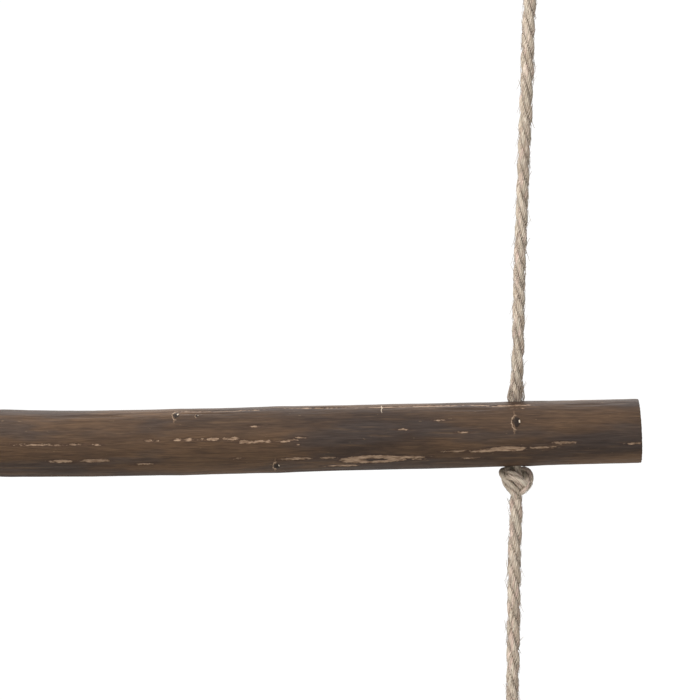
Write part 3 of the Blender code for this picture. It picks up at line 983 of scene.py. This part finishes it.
EYE_HALF_WIDTH = 0.0183
EYE_HEIGHT = 0.064
EYE_START_ANGLE = 32
EYE_FOOT_IN_KNOT = 0.0065
EYE_KNOT_MIDDLE = -0.0697
EYE_END_OFFSET = 0.0080
EYE_END_TIP = -0.1086
EYE_SQUEEZE = 0.98
EYE_FIBRES_PER_MM = 2.2
LOOP_KNOT_FIBRES_PER_MM = 1.2
# Half the distance between the two ropes inside the loop knot, in millimetres.
LOOP_KNOT_HALF_GAP = 2.6
# The route of the doubled rope from the knot's foot up, in millimetres from its middle.
LOOP_KNOT_ROUTE = (
    (3.6, -1.0, -10.6), (0.6, -2.8, -7.4), (-4.2, -3.2, -2.6), (-6.6, -1.6, 3.6),
    (-4.6, 2.6, 6.8), (1.0, 4.8, 6.0), (6.0, 3.2, 3.4), (7.2, -0.6, -1.0),
    (4.6, -4.2, -4.2), (0.8, 1.2, -4.6), (-4.0, 4.2, -4.0), (-5.6, 2.6, 1.0),
    (-3.0, -4.4, 3.4), (2.0, -5.2, 2.6), (4.4, -1.8, 4.4), (1.8, 0.6, 8.0),
)


def eye_loop(side):
    """The drop-shaped open loop, from one leg inside the knot round to the other."""
    centre = Vector(((2 * side - 1) * EYE_X, 0, ROPE_RADIUS - EYE_HEIGHT))
    widest = 4 / (3 * math.sqrt(3))
    route = []
    for degrees in np.linspace(EYE_START_ANGLE, 360 - EYE_START_ANGLE, 17):
        angle = math.radians(degrees)
        across = EYE_HALF_WIDTH / widest * math.sin(angle) * math.sin(angle / 2)
        route.append(centre + Vector((across, 0, EYE_HEIGHT * (1 - math.cos(angle)) / 2)))
    foot = UP * EYE_FOOT_IN_KNOT
    route = [route[0] - foot] + route + [route[-1] - foot]
    run = smooth_run(route)
    draw = random.Random(f"eye {side}")
    swell = np.full(len(run.along), EYE_SQUEEZE)
    fuzz, radii = fuzz_paths(run, draw, EYE_FIBRES_PER_MM, swell)
    return finish_rope(f"hanging_eye_{SIDES[side]}", [
        strands_mesh(run, swell, draw), fibres_mesh(fuzz, radii)])


def loop_knot(side):
    """The overhand loop knot: two ropes side by side along one knotted route."""
    outward = 2 * side - 1
    middle = Vector((outward * EYE_X, 0, EYE_KNOT_MIDDLE))
    half_offset = EYE_END_OFFSET / 2 / MM
    route = [(half_offset, 0, -13.6), *LOOP_KNOT_ROUTE, (0, 0, 11.6)]
    route = [middle + Vector((x * outward, y, z)) * MM for x, y, z in route]
    guide = smooth_run(route, spacing=0.0015)
    share = guide.along / guide.along[-1]
    last = guide.sides[-1], guide.fronts[-1]
    roll = math.atan2(last[1][0], last[0][0]) * share
    apart = np.cos(roll)[:, None] * guide.sides + np.sin(roll)[:, None] * guide.fronts
    gap = LOOP_KNOT_HALF_GAP
    gap += (half_offset - LOOP_KNOT_HALF_GAP) * step_up(guide.along, 0.007, 0)
    gap += 0.9 * step_up(share, 0.93, 1)
    draw = random.Random(f"loop knot {side}")
    parts = []
    for which in (-outward, outward):
        run = smooth_run(guide.points + which * apart * gap[:, None] * MM, spacing=0.001)
        swell = np.full(len(run.along), EYE_SQUEEZE)
        fuzz, radii = fuzz_paths(run, draw, LOOP_KNOT_FIBRES_PER_MM, swell, reach=0.8)
        parts += [strands_mesh(run, swell, draw), fibres_mesh(fuzz, radii)]
    return finish_rope(f"loop_knot_{SIDES[side]}", parts)


for side, word in enumerate(SIDES):
    outward = 2 * side - 1
    top = Vector((outward * (EYE_X + EYE_END_OFFSET), 0, EYE_KNOT_MIDDLE - 0.012))
    tip = Vector((top.x + outward * 0.001, 0, EYE_END_TIP))
    short_end, _ = cut_end(f"eye_short_end_{word}", top, tip, random.Random(f"short end {side}"))
    for piece, node in (
        (eye_loop(side), "eye"), (loop_knot(side), "eye_knot"), (short_end, "eye_end"),
    ):
        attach(piece, "eyes")
        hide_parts(f"{node}_{word}")

bpy.data.objects.remove(strand_outline)

# ------------------------------------------------------------
# The studio: a pale matt floor just below the ladder, which hangs clear of it, a white
# surround that lights it faintly, and three large soft lights.

FLOOR_HEIGHT = -1.62
FLOOR_RADIUS = 3
LIGHTS_AIM = Vector((0, 0, -0.8))
SURROUND_LIGHT = 0.16
SURROUND_SEEN = 1.05

scene = bpy.context.scene
scene.view_settings.view_transform = "Standard"
camera = bpy.data.cameras.new("camera")
camera.lens = 194
camera.sensor_width = 36
scene.camera = place_object("camera", camera)
scene.camera.location = (0.0907, -2.03, -0.8296)
scene.camera.rotation_euler = (math.radians(90), 0, 0)

for name, spot, size, watts in (
    ("key_softbox", (-0.7, -1.3, 1.1), 1.4, 84),
    ("fill_softbox", (1.0, -2.6, -0.5), 2.0, 9),
    ("back_softbox", (0.3, 1.8, 0.9), 1.6, 75),
):
    softbox = bpy.data.lights.new(name, "AREA")
    softbox.size = size
    softbox.energy = watts
    light = place_object(name, softbox)
    light.location = spot
    light.rotation_euler = (LIGHTS_AIM - Vector(spot)).to_track_quat("-Z", "Y").to_euler()

surround = bpy.data.worlds.new("white_surround")
surround.use_nodes = True
white = surround.node_tree.nodes["Background"]
white.inputs["Color"].default_value = (1, 1, 1, 1)
rays = add(surround.node_tree, "LightPath", {}, {})
strength = add(surround.node_tree, "MapRange", {}, {
    "Value": rays.outputs["Is Camera Ray"], "To Min": SURROUND_LIGHT, "To Max": SURROUND_SEEN})
surround.node_tree.links.new(strength.outputs[0], white.inputs["Strength"])
scene.world = surround

disc = bmesh.new()
bmesh.ops.create_circle(disc, cap_ends=True, segments=96, radius=FLOOR_RADIUS)
bmesh.ops.translate(disc, verts=disc.verts, vec=(0, 0, FLOOR_HEIGHT))
floor_mesh = as_mesh("floor", disc)
paint, _, paint_shader = new_finish("matt_white_floor", roughness=0.9)
paint_shader.inputs["Base Color"].default_value = linear("#e9e8e5")
floor_mesh.materials.append(paint)
place_object("floor", floor_mesh)
